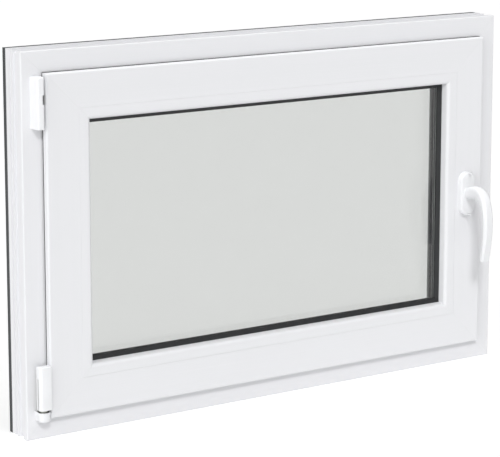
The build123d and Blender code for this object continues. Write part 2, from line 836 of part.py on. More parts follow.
top_cover_shape = relative((-8.5, 10.5), (-5, -9), (3, -9), (7, -1.5), (7, 10.5))
with BuildPart() as top_hinge_cover:
    with BuildSketch(Plane.XY.offset(top_hinge_height[0])):
        with BuildLine():
            Polyline(*top_cover_shape, close=True)
        make_face()
    extrude(amount=top_hinge_height[1] - top_hinge_height[0])
    upright_edges = top_hinge_cover.edges().filter_by(Axis.Z).sort_by(Axis.Y)
    fillet(upright_edges[:3], 2.2)
    chamfer(top_hinge_cover.faces().sort_by(Axis.Z)[-1].edges().sort_by(Axis.Y)[:4], 1.5)
    with BuildSketch(Plane.XY.offset(top_hinge_height[0] + cover_wall)):
        with BuildLine():
            Polyline(*relative((-7.1, 10.5), (-3.9, -7.8), (2.3, -7.8), (5.8, -1.2), (5.8, 10.5)), close=True)
        make_face()
    extrude(amount=top_hinge_height[1] - top_hinge_height[0] - 2 * cover_wall, mode=Mode.SUBTRACT)
    with Locations((hinge_x + 7.5, hinge_y + 4.5, stay_plate_middle)):
        Box(20, 12.2, cover_notch_height, mode=Mode.SUBTRACT)
    with Locations((hinge_x + cover_notch_from + 5, hinge_y, stay_plate_middle)):
        Box(10, 21.2, cover_notch_height, mode=Mode.SUBTRACT)
save(top_hinge_cover.part, "top_hinge_cover")

knuckle_gap = 0.6
lower_knuckle = (505.0, stay_plate_height[0] - knuckle_gap)
upper_knuckle = (stay_plate_height[1] + knuckle_gap, 550.0)
with BuildPart() as top_hinge_bracket:
    with BuildSketch(Plane.XY.offset(486)):
        with Locations((hinge_x - 0.4, room - 1.5)):
            Rectangle(11.6, 3)
    extrude(amount=74)
    with Locations((hinge_x + 7.7, room - 1.5, stay_plate_middle)):
        Box(20, 4, stay_plate_height[1] - stay_plate_height[0] + 1.2, mode=Mode.SUBTRACT)
    for low, high in (lower_knuckle, upper_knuckle):
        with BuildSketch(Plane.XY.offset(low)):
            with Locations((hinge_x, hinge_y)):
                Circle(knuckle_radius)
            with Locations((hinge_x, hinge_y + 4)):
                Rectangle(6, 8)
        extrude(amount=high - low)
    with BuildSketch(Plane.XY.offset(486)):
        with Locations((hinge_x, hinge_y)):
            Circle(pin_radius + 0.02)
    extrude(amount=74, mode=Mode.SUBTRACT)
save(
    drilled(top_hinge_bracket.part, top_bracket_screw_planes, clearance_radius, 4), "top_hinge_bracket"
)

with BuildPart() as top_hinge_pin:
    with BuildSketch(upright(hinge_x, hinge_y, 502)):
        Circle(pin_radius)
    extrude(amount=52)
save(top_hinge_pin.part, "top_hinge_pin")
save(
    pan_screws(top_bracket_screw_planes, 2.7, 1.2, screw_radius, bracket_screw_length),
    "top_hinge_screws",
)

stay_bar_bottom = 549.8
stay_bar_thickness = 3.0
stay_bar_width = 14.0
stay_plate_depth = (-32.6, -30.3)
stay_corner_x = -half_width + frame_face + 2
plate_height = stay_plate_height[1] - stay_plate_height[0]
with BuildPart() as stay_arm:
    with BuildSketch(Plane.XY.offset(stay_plate_height[0])):
        with Locations((hinge_x, hinge_y)):
            Circle(knuckle_radius)
        with BuildLine():
            Polyline(
                (hinge_x - 1.5, hinge_y),
                (hinge_x - 1.5, stay_plate_depth[1]),
                (stay_corner_x + 3, stay_plate_depth[1]),
                (stay_corner_x + 3, stay_plate_depth[0]),
                (hinge_x + 3, stay_plate_depth[0]),
                (hinge_x + 3, hinge_y),
                close=True,
            )
        make_face()
        with Locations((hinge_x, hinge_y)):
            Circle(pin_radius + bearing_play, mode=Mode.SUBTRACT)
    extrude(amount=plate_height)
    corner_low = stay_plate_height[0]
    corner_high = stay_bar_bottom + stay_bar_thickness
    corner_street = hardware_depth + stay_bar_width / 2
    with Locations(
        (
            stay_corner_x + 1.5,
            (stay_plate_depth[0] + corner_street) / 2,
            (corner_low + corner_high) / 2,
        )
    ):
        Box(3, corner_street - stay_plate_depth[0], corner_high - corner_low)
    bar_length = stay_x - stay_corner_x
    with BuildSketch(Plane.XY.offset(stay_bar_bottom)):
        with Locations((stay_corner_x + bar_length / 2, hardware_depth)):
            Rectangle(bar_length, stay_bar_width)
        with Locations((stay_x, hardware_depth)):
            Circle(stay_bar_width / 2)
            Circle(stay_pin_radius, mode=Mode.SUBTRACT)
    extrude(amount=stay_bar_thickness)
save(stay_arm.part, "stay_arm")

with BuildPart() as stay_slider_pin:
    with BuildSketch(upright(stay_x, hardware_depth, stay_bar_bottom + stay_bar_thickness)):
        Circle(stay_pin_radius - 0.02)
    extrude(amount=-11)
    with BuildSketch(upright(stay_x, hardware_depth, stay_bar_bottom + stay_bar_thickness)):
        Circle(5)
    extrude(amount=1.6)
save(stay_slider_pin.part, "stay_slider_pin")

# ---- Bottom hinge --------------------------------------------------------------------------
pivot_radius = 3.5
bearing_radius = 8.2
cap_radius = 9.8
cap_inner_radius = 8.7
bearing_height = (32.5, 35.5)
cap_height = (31.5, 46.0)

with BuildPart() as corner_bearing:
    with BuildSketch(Plane.XY.offset(bearing_height[0])):
        with Locations((hinge_x, hinge_y)):
            Circle(bearing_radius)
        with Locations((hinge_x - 0.8, hinge_y + 4.5)):
            Rectangle(13.6, 9)
    extrude(amount=bearing_height[1] - bearing_height[0])
    with BuildSketch(Plane.XY.offset(bearing_height[0])):
        with Locations((hinge_x - 1.0, room - 1.5)):
            Rectangle(15, 3)
    extrude(amount=cap_height[1] - 1 - bearing_height[0])
    with BuildSketch(Plane.XY.offset(bearing_height[0])):
        with Locations((hinge_x, hinge_y)):
            Circle(pivot_radius + bearing_play)
    extrude(amount=10, mode=Mode.SUBTRACT)
save(drilled(corner_bearing.part, bearing_screw_planes, clearance_radius, 4), "corner_bearing")
save(
    pan_screws(bearing_screw_planes, 2.1, 1.0, screw_radius, bracket_screw_length),
    "corner_bearing_screws",
)

with BuildPart() as corner_bearing_cover:
    with BuildSketch(Plane.XY.offset(cap_height[0])):
        with Locations((hinge_x, hinge_y)):
            Circle(cap_radius)
        with Locations((hinge_x - 0.9, hinge_y + 5.25)):
            Rectangle(17.8, 10.5)
    extrude(amount=cap_height[1] - cap_height[0])
    chamfer(corner_bearing_cover.faces().sort_by(Axis.Z)[0].edges().sort_by(Axis.Y)[:1], 1.5)
    with BuildSketch(Plane.XY.offset(bearing_height[0])):
        with Locations((hinge_x, hinge_y)):
            Circle(cap_inner_radius)
        with Locations((hinge_x - 0.9, hinge_y + 5.25)):
            Rectangle(15.6, 10.5)
    extrude(amount=cap_height[1] - bearing_height[0], mode=Mode.SUBTRACT)
save(corner_bearing_cover.part, "corner_bearing_cover")

# The sash stands on a domed pin. It turns with the sash, and the sash rocks on its dome.
with BuildPart() as corner_pivot_pin:
    with BuildSketch(upright(hinge_x, hinge_y, bearing_height[0] + 0.1)):
        Circle(pivot_radius)
    extrude(amount=tilt_height - bearing_height[0] - 0.1)
    with Locations((hinge_x, hinge_y, tilt_height)):
        Sphere(pivot_radius)
save(corner_pivot_pin.part, "corner_pivot_pin")

stem_radius = 6.3
barrel_radius = 8.2
barrel_height = (49.0, 105.0)
leaf_depth = (-32.8, -30.6)
with BuildPart() as sash_hinge_leaf:
    with BuildSketch(upright(hinge_x, hinge_y, tilt_height + 0.4)):
        Circle(stem_radius)
    extrude(amount=barrel_height[0] - tilt_height)
    with BuildSketch(upright(hinge_x, hinge_y, barrel_height[0])):
        Circle(barrel_radius)
    extrude(amount=barrel_height[1] - barrel_height[0])
    with BuildSketch(Plane.XY.offset(leaf_height[0])):
        with BuildLine():
            Polyline(
                (hinge_x - 1, hinge_y + 6),
                (hinge_x - 1, leaf_depth[1]),
                (-half_width + leaf_top, leaf_depth[1]),
                (-half_width + leaf_top, hardware_depth + recess_half),
                (-half_width + sash_web, hardware_depth + recess_half),
                (-half_width + sash_web, leaf_depth[0]),
                (hinge_x + 3, leaf_depth[0]),
                (hinge_x + 3, hinge_y + 6),
                close=True,
            )
        make_face()
    extrude(amount=leaf_height[1] - leaf_height[0])
    with Locations((hinge_x, hinge_y, tilt_height)):
        Sphere(pivot_radius + bearing_play, mode=Mode.SUBTRACT)
save(drilled(sash_hinge_leaf.part, leaf_screw_planes, clearance_radius, 4), "sash_hinge_leaf")
save(pan_screws(leaf_screw_planes, 3.2, 1.6, screw_radius, leaf_screw_length), "sash_hinge_screws")

cover_height = (49.8, 118.0)
with BuildPart() as sash_hinge_cover:
    with BuildSketch(Plane.XY.offset(cover_height[0])):
        with Locations((hinge_x, hinge_y)):
            Circle(cap_radius)
        with Locations((hinge_x + 5.2, hinge_y - 1.4)):
            Rectangle(10.4, 16.8)
    extrude(amount=cover_height[1] - cover_height[0])
    fillet(sash_hinge_cover.faces().sort_by(Axis.Z)[-1].edges().sort_by(Axis.Y)[:2], 1.2)
    with BuildSketch(Plane.XY.offset(cover_height[0])):
        with Locations((hinge_x, hinge_y)):
            Circle(barrel_radius + 0.2)
        with Locations((hinge_x + 4.6, hinge_y)):
            Rectangle(9.2, 14)
    extrude(amount=cover_height[1] - cover_height[0] - 1.6, mode=Mode.SUBTRACT)
    with Locations((hinge_x, hinge_y + 13.2, sum(cover_height) / 2)):
        Box(30, 20, 100, mode=Mode.SUBTRACT)
save(sash_hinge_cover.part, "sash_hinge_cover")
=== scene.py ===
# %% [markdown]
# # A white tilt-and-turn window
#
# This lesson finishes a uPVC window whose working parts were designed in CAD. The CAD parts are loaded
# first and stay where they are. The steps after that set up the camera and a plain studio, give every part
# the finish of the real material, and model by hand the parts that a hand or an eye meets closely: the
# handle, the hinge covers, the seals, the screws and the drain caps.

# %% Load the window
import math

import bmesh
import bpy
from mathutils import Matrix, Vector
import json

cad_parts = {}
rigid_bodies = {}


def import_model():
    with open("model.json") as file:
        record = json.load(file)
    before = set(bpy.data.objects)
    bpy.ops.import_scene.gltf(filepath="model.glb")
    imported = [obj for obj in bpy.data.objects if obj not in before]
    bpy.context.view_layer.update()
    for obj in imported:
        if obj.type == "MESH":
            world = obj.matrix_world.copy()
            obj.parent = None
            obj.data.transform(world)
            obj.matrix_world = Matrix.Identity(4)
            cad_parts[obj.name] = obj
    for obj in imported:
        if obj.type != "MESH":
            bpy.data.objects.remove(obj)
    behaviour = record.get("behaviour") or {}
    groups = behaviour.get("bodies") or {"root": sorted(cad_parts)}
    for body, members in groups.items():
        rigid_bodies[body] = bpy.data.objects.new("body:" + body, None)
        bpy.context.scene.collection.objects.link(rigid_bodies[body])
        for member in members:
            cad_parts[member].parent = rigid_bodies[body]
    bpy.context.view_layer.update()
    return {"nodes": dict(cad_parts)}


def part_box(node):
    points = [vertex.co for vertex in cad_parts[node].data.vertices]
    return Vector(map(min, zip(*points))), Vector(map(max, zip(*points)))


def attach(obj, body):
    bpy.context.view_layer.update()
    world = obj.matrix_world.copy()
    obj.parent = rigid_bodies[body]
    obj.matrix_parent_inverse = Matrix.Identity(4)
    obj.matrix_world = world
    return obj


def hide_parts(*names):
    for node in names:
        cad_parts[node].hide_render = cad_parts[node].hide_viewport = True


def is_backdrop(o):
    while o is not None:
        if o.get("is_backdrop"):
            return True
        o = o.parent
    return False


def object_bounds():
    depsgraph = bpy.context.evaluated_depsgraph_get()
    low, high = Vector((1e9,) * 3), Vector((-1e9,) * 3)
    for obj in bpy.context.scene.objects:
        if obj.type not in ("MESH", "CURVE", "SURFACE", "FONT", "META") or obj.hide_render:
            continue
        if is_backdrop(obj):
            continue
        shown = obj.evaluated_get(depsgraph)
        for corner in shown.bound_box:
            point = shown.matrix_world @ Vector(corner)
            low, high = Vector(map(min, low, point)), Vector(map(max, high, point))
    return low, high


# Blender may start with a cube, a lamp and a camera of its own, which aren't wanted here.
for thing in list(bpy.data.objects):
    bpy.data.objects.remove(thing)
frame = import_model()
nodes = frame["nodes"]

# %% [markdown]
# Lengths are easier to read in millimetres, as on a workshop drawing, so one name turns them into
# Blender's metres. The window's height and half its width are read off the frame, and the joint between
# bars at every corner runs at 45 degrees from there.

# %% Working sizes
MM = 0.001
window_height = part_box("frame_head")[1].z
half_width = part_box("frame_jamb_right")[1].x
sash_face_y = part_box("sash_top")[0].y
print("window", round(half_width * 2, 3), "x", round(window_height, 3))

# %% [markdown]
# ## Camera
#
# The window is seen from the left and from above its middle. A long lens keeps its edges almost parallel.
# The camera is level with nothing turned about its own axis, and a small lens shift helps to keep the
# uprights upright.

# %% Camera
camera_data = bpy.data.cameras.new("camera")
camera_data.sensor_width = 36.0
camera_data.lens = 146.8
camera_data.shift_y = -0.2
camera = bpy.data.objects.new("camera", camera_data)
bpy.context.collection.objects.link(camera)
camera.location = (-1.7732, -2.7339, 0.9884)
turn_right = 0.5683
look_down = 0.1668
camera.rotation_euler = (math.pi / 2 - look_down, 0, -turn_right)
bpy.context.scene.camera = camera
print("camera turned", round(math.degrees(turn_right), 1), "degrees to the right")

# %% [markdown]
# ## Studio
#
# White plastic shows its shape only through soft steps of grey, so the light does most of the work. The
# sky is bright overhead and falls off towards the horizon, as under a large softbox. It makes the floor
# and every surface that faces up nearly white, and leaves the upright faces a shade darker. One lamp from
# the upper left draws the shadow under the sash's lip and beside the handle, and two wide softboxes, from
# the left and from straight above, brighten the edges that face them. The lamps are flagged off the floor,
# which stays plain and glows a little, as a light table does.


# %% Pick and clear
def select_none():
    """Deselect every object, so that an operator acts only on what is made next."""
    bpy.context.view_layer.update()
    for other in bpy.context.view_layer.objects:
        if other is not None:
            other.select_set(False)


# %% Colour and node helpers
def linear(hex_colour):
    """A screen colour such as 'F2F2F0' as linear light."""
    parts = [int(hex_colour[i : i + 2], 16) / 255 for i in (0, 2, 4)]
    return [part / 12.92 if part <= 0.04045 else ((part + 0.055) / 1.055) ** 2.4 for part in parts] + [1.0]


def node(tree, kind, links=None, **settings):
    """Add one node. links names its inputs, each with a value or with the output that feeds it."""
    made = tree.nodes.new(kind)
    for name, value in settings.items():
        setattr(made, name, value)
    for name, value in (links or {}).items():
        if isinstance(value, bpy.types.NodeSocket):
            tree.links.new(value, made.inputs[name])
        else:
            made.inputs[name].default_value = value
    return made


# %% Floor
select_none()
bpy.ops.mesh.primitive_plane_add(size=400, location=(0, 0, 0))
floor = bpy.context.object
floor.name = "studio_floor"
floor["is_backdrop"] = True

# %% Sky
sky_at_horizon = 0.06
sky_overhead = 0.94
scene = bpy.context.scene
scene.view_settings.view_transform = "Standard"
surround = bpy.data.worlds.new("softbox sky")
scene.world = surround
surround.use_nodes = True
sky = surround.node_tree
direction = node(sky, "ShaderNodeTexCoord")
parts = node(sky, "ShaderNodeSeparateXYZ", {"Vector": direction.outputs["Generated"]})
square = node(
    sky, "ShaderNodeMath", {0: parts.outputs["Z"], 1: parts.outputs["Z"]}, operation="MULTIPLY"
)
strength = node(
    sky,
    "ShaderNodeMath",
    {0: square.outputs[0], 1: sky_overhead, 2: sky_at_horizon},
    operation="MULTIPLY_ADD",
)
seen = node(sky, "ShaderNodeLightPath")
straight = node(
    sky,
    "ShaderNodeMath",
    {0: seen.outputs["Is Camera Ray"], 1: seen.outputs["Is Transmission Ray"]},
    operation="MAXIMUM",
)
shown = node(sky, "ShaderNodeMath", {0: strength.outputs[0], 1: straight.outputs[0]}, operation="MAXIMUM")
sky.links.new(shown.outputs[0], sky.nodes["Background"].inputs["Strength"])
sky.nodes["Background"].inputs["Color"].default_value = (1, 1, 1, 1)

# %% Lamps
lamp_height = math.radians(41.5)
lamp_left = math.radians(25)
towards_lamp = Vector(
    (-math.sin(lamp_left), -math.cos(lamp_left), math.tan(lamp_height) * math.cos(lamp_left))
)


def softbox(name, energy, spread, towards):
    """A distant lamp that shines from one direction on everything but the floor."""
    data = bpy.data.lights.new(name, "SUN")
    data.energy = energy
    data.angle = math.radians(spread)
    made = bpy.data.objects.new(name, data)
    bpy.context.collection.objects.link(made)
    made.rotation_mode = "QUATERNION"
    made.rotation_quaternion = Vector(towards).to_track_quat("Z", "Y")
    made.light_linking.receiver_collection = flagged_off


flagged_off = bpy.data.collections.new("not lit by the lamps")
flagged_off.objects.link(floor)
flagged_off.collection_objects[0].light_linking.link_state = "EXCLUDE"
softbox("key lamp", 1.36, 13, towards_lamp)
softbox("side softbox", 1.12, 44, (-1, -0.36, 0.3))
softbox("overhead softbox", 1.0, 30, (0, 0, 1))
print("lamp from", [round(part, 2) for part in towards_lamp.normalized()])

# %% [markdown]
# ## Finishes
#
# Every finish starts from its real colour, index of refraction and roughness. The colours are written as
# they look on a screen and turned into linear light by the function above.


# %% Blank material and painting
def bare(name, **surface):
    """A material with one Principled surface, whose constant values are set on its own sockets."""
    material = bpy.data.materials.new(name)
    material.use_nodes = True
    shader = material.node_tree.nodes["Principled BSDF"]
    for socket, value in surface.items():
        shader.inputs[socket.replace("_", " ")].default_value = value
    return material, material.node_tree, shader


def paint(objects, material):
    """Give the material to each object's every slot."""
    for thing in objects:
        if not thing.material_slots:
            thing.data.materials.append(material)
        for place in thing.material_slots:
            place.material = material


# %% [markdown]
# Most of the surfaces share one idea: a fine noise of the real grain size moves the colour a little, the
# gloss a little more, and the height by a few hundredths of a millimetre. Stretching the noise gives the
# drawn lines of an extruded or brushed surface.


# %% Surface grain
def grain(tree, shader, light, dark, size_mm, gloss, height_mm, stretch=(1, 1, 1)):
    """Vary colour between two hex values, roughness between two numbers, and height, by one noise."""
    place = node(tree, "ShaderNodeTexCoord")
    map_node = node(tree, "ShaderNodeMapping", {"Vector": place.outputs["Object"], "Scale": stretch})
    noise = node(
        tree,
        "ShaderNodeTexNoise",
        {
            "Vector": map_node.outputs["Vector"],
            "Scale": 1 / (size_mm * MM),
            "Detail": 3.0,
            "Roughness": 0.6,
        },
    )
    slow = node(
        tree,
        "ShaderNodeTexNoise",
        {"Vector": map_node.outputs["Vector"], "Scale": 1 / (60 * size_mm * MM), "Detail": 2.0},
    )
    both = node(tree, "ShaderNodeMix", {"Factor": 0.5}, data_type="FLOAT")
    tree.links.new(noise.outputs["Fac"], both.inputs[2])
    tree.links.new(slow.outputs["Fac"], both.inputs[3])
    tone = node(tree, "ShaderNodeValToRGB", {"Fac": both.outputs[0]})
    tone.color_ramp.elements[0].color = linear(dark)
    tone.color_ramp.elements[0].position = 0.3
    tone.color_ramp.elements[1].color = linear(light)
    tone.color_ramp.elements[1].position = 0.7
    rough = node(
        tree,
        "ShaderNodeMapRange",
        {
            "Value": both.outputs[0],
            "From Min": 0.3,
            "From Max": 0.7,
            "To Min": gloss[0],
            "To Max": gloss[1],
        },
    )
    bump = node(
        tree,
        "ShaderNodeBump",
        {"Height": noise.outputs["Fac"], "Distance": height_mm * MM, "Strength": 0.6},
    )
    tree.links.new(tone.outputs["Color"], shader.inputs["Base Color"])
    tree.links.new(rough.outputs["Result"], shader.inputs["Roughness"])
    tree.links.new(bump.outputs["Normal"], shader.inputs["Normal"])
    return place, bump


# %% [markdown]
# **Extruded white uPVC.** The bars are pushed through a die, so they carry faint lines along their length
# and a satin gloss. At the corners the bars are welded, and the weld is cleaned off with a shallow groove
# about 2 mm wide. That groove lies where the distance in from the side equals the distance in from the top
# or bottom.


# %% Extruded bars
def extruded_upvc(name, along, light="E3E3E6", dark="DFE0E2"):
    """White uPVC drawn along x or z, with a cleaned weld groove at the mitres."""
    material, tree, shader = bare(name, IOR=1.53, Specular_IOR_Level=0.5)
    stretch = (0.004, 1, 1) if along == "x" else (1, 1, 0.004)
    place, lines = grain(tree, shader, light, dark, 1.2, (0.36, 0.44), 0.004, stretch)
    split = node(tree, "ShaderNodeSeparateXYZ", {"Vector": place.outputs["Object"]})
    side = node(tree, "ShaderNodeMath", {0: split.outputs["X"]}, operation="ABSOLUTE")
    inset_side = node(tree, "ShaderNodeMath", {0: half_width, 1: side.outputs[0]}, operation="SUBTRACT")
    off_middle = node(
        tree, "ShaderNodeMath", {0: split.outputs["Z"], 1: window_height / 2}, operation="SUBTRACT"
    )
    rise = node(tree, "ShaderNodeMath", {0: off_middle.outputs[0]}, operation="ABSOLUTE")
    inset_end = node(
        tree, "ShaderNodeMath", {0: window_height / 2, 1: rise.outputs[0]}, operation="SUBTRACT"
    )
    apart = node(
        tree, "ShaderNodeMath", {0: inset_side.outputs[0], 1: inset_end.outputs[0]}, operation="SUBTRACT"
    )
    distance = node(tree, "ShaderNodeMath", {0: apart.outputs[0]}, operation="ABSOLUTE")
    groove = node(
        tree,
        "ShaderNodeMapRange",
        {"Value": distance.outputs[0], "From Min": 0.4 * MM, "From Max": 1.5 * MM},
    )
    weld = node(
        tree,
        "ShaderNodeBump",
        {"Height": groove.outputs["Result"], "Distance": 0.15 * MM, "Normal": lines.outputs["Normal"]},
    )
    tree.links.new(weld.outputs["Normal"], shader.inputs["Normal"])
    return material


upvc_level = extruded_upvc("extruded white uPVC, level bars", "x")
upvc_upright = extruded_upvc("extruded white uPVC, upright bars", "z")
paint([nodes[n] for n in ("frame_head", "frame_sill", "sash_top", "sash_bottom")], upvc_level)
paint([nodes[n] for n in ("frame_jamb_left", "frame_jamb_right")], upvc_upright)
paint([nodes[n] for n in ("sash_hinge_stile", "sash_lock_stile")], upvc_upright)

bead_level = extruded_upvc("extruded white uPVC, level beads", "x")
bead_upright = extruded_upvc("extruded white uPVC, upright beads", "z")
paint([nodes["bead_top"], nodes["bead_bottom"]], bead_level)
paint([nodes["bead_left"], nodes["bead_right"]], bead_upright)

# %% [markdown]
# **Dark laminated skin.** The street side carries an anthracite film pressed with a fine grain.

# %% Dark skin
dark_film, tree, shader = bare("embossed anthracite film", IOR=1.5)
grain(tree, shader, "3A3D3F", "2C2F31", 0.5, (0.5, 0.62), 0.05, (1, 1, 0.35))
paint([nodes["frame_colour_skin"], nodes["sash_colour_skin"], nodes["drain_caps"]], dark_film)

# %% Seals
rubber, tree, shader = bare("extruded black EPDM rubber", IOR=1.52)
grain(tree, shader, "242628", "161718", 0.4, (0.55, 0.72), 0.03)
paint([nodes[n] for n in ("frame_gasket", "sash_gasket", "bead_gasket", "outer_glazing_gasket")], rubber)

# %% Glass unit
sealant, tree, shader = bare("black butyl edge sealant", IOR=1.5)
grain(tree, shader, "1E1F20", "141515", 1.5, (0.6, 0.75), 0.08)
paint([nodes["edge_seal"]], sealant)

spacer_metal, tree, shader = bare("dark coated aluminium spacer, roll-formed", IOR=1.5, Metallic=0.35)
place, bump = grain(tree, shader, "5A5D5C", "4B4E4D", 0.6, (0.4, 0.5), 0.02, (1, 1, 0.1))
# Rolling leaves ribs about 5 mm apart along the bar. Their crests are painted lighter than the flanks,
# a painted highlight where each rib catches the light.
rib_spacing = 5.3 * MM
ribs = node(
    tree,
    "ShaderNodeTexWave",
    {"Vector": place.outputs["Object"], "Scale": math.pi / 10 / rib_spacing, "Phase Offset": 2.2},
    bands_direction="Y",
)
painted_crest_highlight_mask = node(tree, "ShaderNodeMapRange", {"Value": ribs.outputs["Fac"], "From Min": 0.55, "From Max": 0.95})
# Painted highlight: the rib crests get a far lighter colour than the flanks.
painted_crest_highlight = node(tree, "ShaderNodeMix", {"Factor": painted_crest_highlight_mask.outputs["Result"]}, data_type="RGBA")
painted_crest_highlight.inputs[6].default_value = linear("3C3F3E")
painted_crest_highlight.inputs[7].default_value = linear("9EA1A0")
tree.links.new(painted_crest_highlight.outputs[2], shader.inputs["Base Color"])
pressed = node(
    tree,
    "ShaderNodeBump",
    {"Height": ribs.outputs["Fac"], "Distance": 0.3 * MM, "Normal": bump.outputs["Normal"]},
)
tree.links.new(pressed.outputs["Normal"], shader.inputs["Normal"])
paint([nodes["spacer_bar"]], spacer_metal)

glass, tree, shader = bare("clear float glass", IOR=1.52, Roughness=0.0, Transmission_Weight=1.0)
shader.inputs["Base Color"].default_value = linear("E8E9E8")
paint([nodes["inner_pane"], nodes["outer_pane"]], glass)

# %% Plastics
block_plastic, tree, shader = bare("moulded glazing block plastic", IOR=1.5)
grain(tree, shader, "5E86B8", "5579A8", 0.8, (0.45, 0.6), 0.05)
paint([nodes["glazing_blocks"]], block_plastic)

cover_plastic, tree, shader = bare("moulded white ABS cover", IOR=1.53)
grain(tree, shader, "E9EAEC", "E5E6E8", 0.5, (0.3, 0.38), 0.02)
paint([nodes[n] for n in ("top_hinge_cover", "corner_bearing_cover", "sash_hinge_cover")], cover_plastic)

handle_paint, tree, shader = bare("powder-coated white handle", IOR=1.5)
grain(tree, shader, "E6E7E9", "E2E3E5", 0.7, (0.3, 0.38), 0.03)
paint([nodes["handle_lever"], nodes["handle_rosette"]], handle_paint)

base_plastic, tree, shader = bare("moulded grey nylon base", IOR=1.53)
grain(tree, shader, "9A9C9D", "8E9091", 0.6, (0.5, 0.6), 0.04)
paint([nodes["handle_base"]], base_plastic)

# %% Metals
galvanised, tree, shader = bare("hot-dip galvanised steel", Metallic=1.0)
grain(tree, shader, "B4B8BA", "94999C", 2.5, (0.38, 0.55), 0.03)
paint([nodes["frame_reinforcement"], nodes["sash_reinforcement"]], galvanised)

passivated, tree, shader = bare("silver passivated steel", Metallic=1.0)
grain(tree, shader, "C9CAC4", "B7B8AF", 0.5, (0.28, 0.4), 0.01, (1, 1, 0.1))
steel_names = (
    "striker_plates tilt_striker striker_screws top_hinge_bracket top_hinge_pin top_hinge_screws "
    "corner_bearing corner_bearing_screws corner_pivot_pin stay_arm stay_slider_pin lock_rail lock_cams "
    "top_rail top_cam bottom_rail bottom_cam gearbox_case lock_faceplate top_faceplate bottom_faceplate "
    "corner_drives faceplate_screws handle_screws handle_spindle drive_pinion sash_hinge_leaf "
    "sash_hinge_screws"
).split()
paint([nodes[n] for n in steel_names], passivated)
print("steel parts:", len(steel_names))

# %% Floor finish
# A little light of its own keeps the paper white where no lamp reaches it.
floor_glow = 0.57
floor_sheet, tree, shader = bare("matt white paper floor", IOR=1.5)
grain(tree, shader, "F2F2F2", "EFEFEF", 3.0, (0.8, 0.9), 0.05)
shader.inputs["Emission Color"].default_value = (1, 1, 1, 1)
shader.inputs["Emission Strength"].default_value = floor_glow
paint([floor], floor_sheet)

# %% [markdown]
# ## Working by hand
#
# The hand-made pieces all start from a primitive, which is then shaped in edit mode. An operator acts on
# whatever is selected, so short helpers keep that in order: one takes a piece up into edit mode with
# nothing selected, one picks faces, edges or points by where they are, and one puts the finished piece
# away with its edges smoothed, its finish on, and the CAD body that it rides on. Three more do the
# commonest jobs: rounding edges, hollowing a block into a shell, and taking a block out of a piece.


# %% Modelling helpers
def take_up(thing):
    """Enter edit mode on one object, with nothing selected."""
    select_none()
    thing.select_set(True)
    bpy.context.view_layer.objects.active = thing
    bpy.ops.object.mode_set(mode="EDIT")
    bpy.ops.mesh.select_all(action="DESELECT")


def pick(thing, kind, test):
    """Select the 'verts', 'edges' or 'faces' that pass the test, and nothing else."""
    bpy.ops.mesh.select_mode(type={"verts": "VERT", "edges": "EDGE", "faces": "FACE"}[kind])
    bpy.ops.mesh.select_all(action="DESELECT")
    mesh = bmesh.from_edit_mesh(thing.data)
    chosen = [part for part in getattr(mesh, kind) if test(part)]
    for part in chosen:
        part.select_set(True)
    mesh.select_flush_mode()
    bmesh.update_edit_mesh(thing.data)
    return len(chosen)


def along(edge, axis, strictness=0.999):
    """True if an edge runs along 'x', 'y' or 'z'."""
    run = (edge.verts[1].co - edge.verts[0].co).normalized()
    return abs(getattr(run, axis)) > strictness


def middle(part):
    """The middle of an edge or a face."""
    return sum((corner.co for corner in part.verts), Vector()) / len(part.verts)


def put_away(thing, name, finish, body, replaced=(), smooth_to=35):
    """Leave edit mode, settle the piece's place in its mesh, and give it its name, finish and body."""
    if thing.mode == "EDIT":
        bpy.ops.object.mode_set(mode="OBJECT")
    select_none()
    thing.select_set(True)
    bpy.context.view_layer.objects.active = thing
    bpy.ops.object.transform_apply(location=True, rotation=True, scale=True)
    bpy.ops.object.shade_smooth_by_angle(angle=math.radians(smooth_to))
    thing.name = thing.data.name = name
    paint([thing], finish)
    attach(thing, body)
    if replaced:
        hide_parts(*replaced)
    print(name, len(thing.data.polygons), "faces, rides on", body)
    return thing


def box_piece(low, high):
    """A cube primitive that fills the box between two corners, left in edit mode."""
    select_none()
    size = high - low
    bpy.ops.mesh.primitive_cube_add(size=1, location=(low + high) / 2, scale=size)
    made = bpy.context.object
    bpy.ops.object.transform_apply(location=True, rotation=True, scale=True)
    take_up(made)
    return made


def soften(thing, kind, test, radius, segments):
    """Round off the edges that pass the test, or all the edges of the faces that pass it."""
    pick(thing, kind, test)
    bpy.ops.mesh.bevel(offset=radius, segments=segments, affect="EDGES")


def hollow_out(thing, test, wall, push):
    """Inset the face that passes the test and push its middle in, so that a block becomes a shell."""
    pick(thing, "faces", test)
    bpy.ops.mesh.inset(thickness=wall)
    bpy.ops.mesh.extrude_region_move(TRANSFORM_OT_translate={"value": push})


def cut_away(thing, low, high):
    """Take the block between two corners out of a piece, and leave the piece out of edit mode."""
    bpy.ops.object.mode_set(mode="OBJECT")
    block = box_piece(low, high)
    bpy.ops.object.mode_set(mode="OBJECT")
    cut = thing.modifiers.new("cut", "BOOLEAN")
    cut.operation = "DIFFERENCE"
    cut.object = block
    cut.solver = "EXACT"
    select_none()
    thing.select_set(True)
    bpy.context.view_layer.objects.active = thing
    bpy.ops.object.modifier_apply(modifier=cut.name)
    bpy.data.objects.remove(block)


# %% [markdown]
# ## Handle
#
# The lever is a die-cast grip: a round neck comes out of the backplate and rises a little, turns down, and
# becomes a flat bar with softened edges and a square end. Extruding it station by station would need a
# turn at each step, so it is made from rings: each ring is a plane primitive whose corners are rounded,
# placed where the grip passes, and all rings are then bridged. The stations are few and listed one by one,
# and a smooth curve through them gives the rings between.

# %% Where the handle sits
rosette_low, rosette_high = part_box("handle_rosette")
handle_x = (rosette_low.x + rosette_high.x) / 2
handle_z = (rosette_low.z + rosette_high.z) / 2
rosette_front = rosette_low.y
print("handle axis at x", round(handle_x, 4), "z", round(handle_z, 4))

